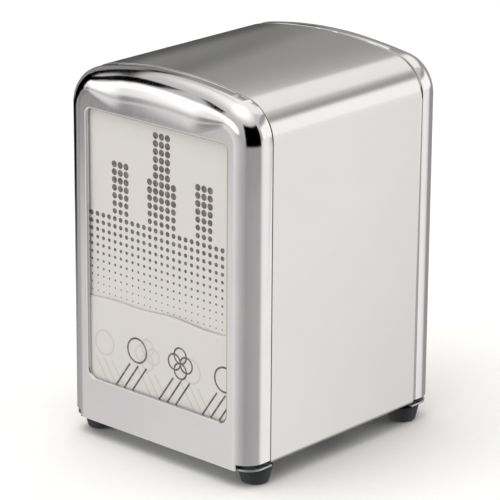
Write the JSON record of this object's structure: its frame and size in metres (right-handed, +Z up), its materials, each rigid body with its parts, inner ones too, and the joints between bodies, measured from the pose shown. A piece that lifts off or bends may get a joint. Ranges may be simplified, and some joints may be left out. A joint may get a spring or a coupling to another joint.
{
  "type": "napkin dispenser",
  "caption": "Tabletop paper napkin dispenser: satin steel sleeve with an arched roof, polished window frames at both ends, sprung pushers inside and rubber feet.",
  "frame": {"origin": "on the table, under the middle of the body", "axes": "+Z up, -Y out of the front window, +X to the right seen from the front"},
  "size_m": [0.0886, 0.101, 0.14],
  "materials": {
    "satin_steel": "satin, fine grain along the body",
    "chrome": "bright polished",
    "zinc_steel": "dull zinc plate",
    "spring_steel": "drawn wire and strip",
    "rubber": "matt moulded",
    "napkin_paper": "soft uncoated tissue paper, printed dark grey"
  },
  "bodies": {
    "sleeve": {"sleeve_shell": "satin_steel", "base_plate": "zinc_steel", "centre_partition": "zinc_steel", "foot_front_left": "rubber", "foot_front_right": "rubber", "foot_rear_left": "rubber", "foot_rear_right": "rubber", "foot_rivet_front_left": "zinc_steel", "foot_rivet_front_right": "zinc_steel", "foot_rivet_rear_left": "zinc_steel", "foot_rivet_rear_right": "zinc_steel", "sleeve_rivet_front_left": "zinc_steel", "sleeve_rivet_front_right": "zinc_steel", "sleeve_rivet_rear_left": "zinc_steel", "sleeve_rivet_rear_right": "zinc_steel", "partition_rivet_1": "zinc_steel", "partition_rivet_2": "zinc_steel", "partition_rivet_3": "zinc_steel", "partition_rivet_4": "zinc_steel", "front_spring": "spring_steel", "front_napkin_stack": "napkin_paper", "front_napkin": "napkin_paper", "rear_spring": "spring_steel", "rear_napkin_stack": "napkin_paper", "rear_napkin": "napkin_paper"},
    "front_frame": {"front_frame": "chrome", "front_clip_left": "spring_steel", "front_clip_right": "spring_steel"},
    "front_pusher": {"front_pusher": "zinc_steel"},
    "rear_frame": {"rear_frame": "chrome", "rear_clip_left": "spring_steel", "rear_clip_right": "spring_steel"},
    "rear_pusher": {"rear_pusher": "zinc_steel"}
  },
  "joints": [
    {"name": "front_frame_pull", "type": "slide", "parent": "sleeve", "child": "front_frame", "axis": [0, -1, 0], "range_m": [0, 0.04]},
    {"name": "front_pusher_slide", "type": "slide", "parent": "sleeve", "child": "front_pusher", "axis": [0, -1, 0], "range_m": [0, 0.0265], "deforming": ["front_spring", "front_napkin_stack"]},
    {"name": "rear_frame_pull", "type": "slide", "parent": "sleeve", "child": "rear_frame", "axis": [0, 1, 0], "range_m": [0, 0.04]},
    {"name": "rear_pusher_slide", "type": "slide", "parent": "sleeve", "child": "rear_pusher", "axis": [0, 1, 0], "range_m": [0, 0.0265], "deforming": ["rear_spring", "rear_napkin_stack"]}
  ]
}
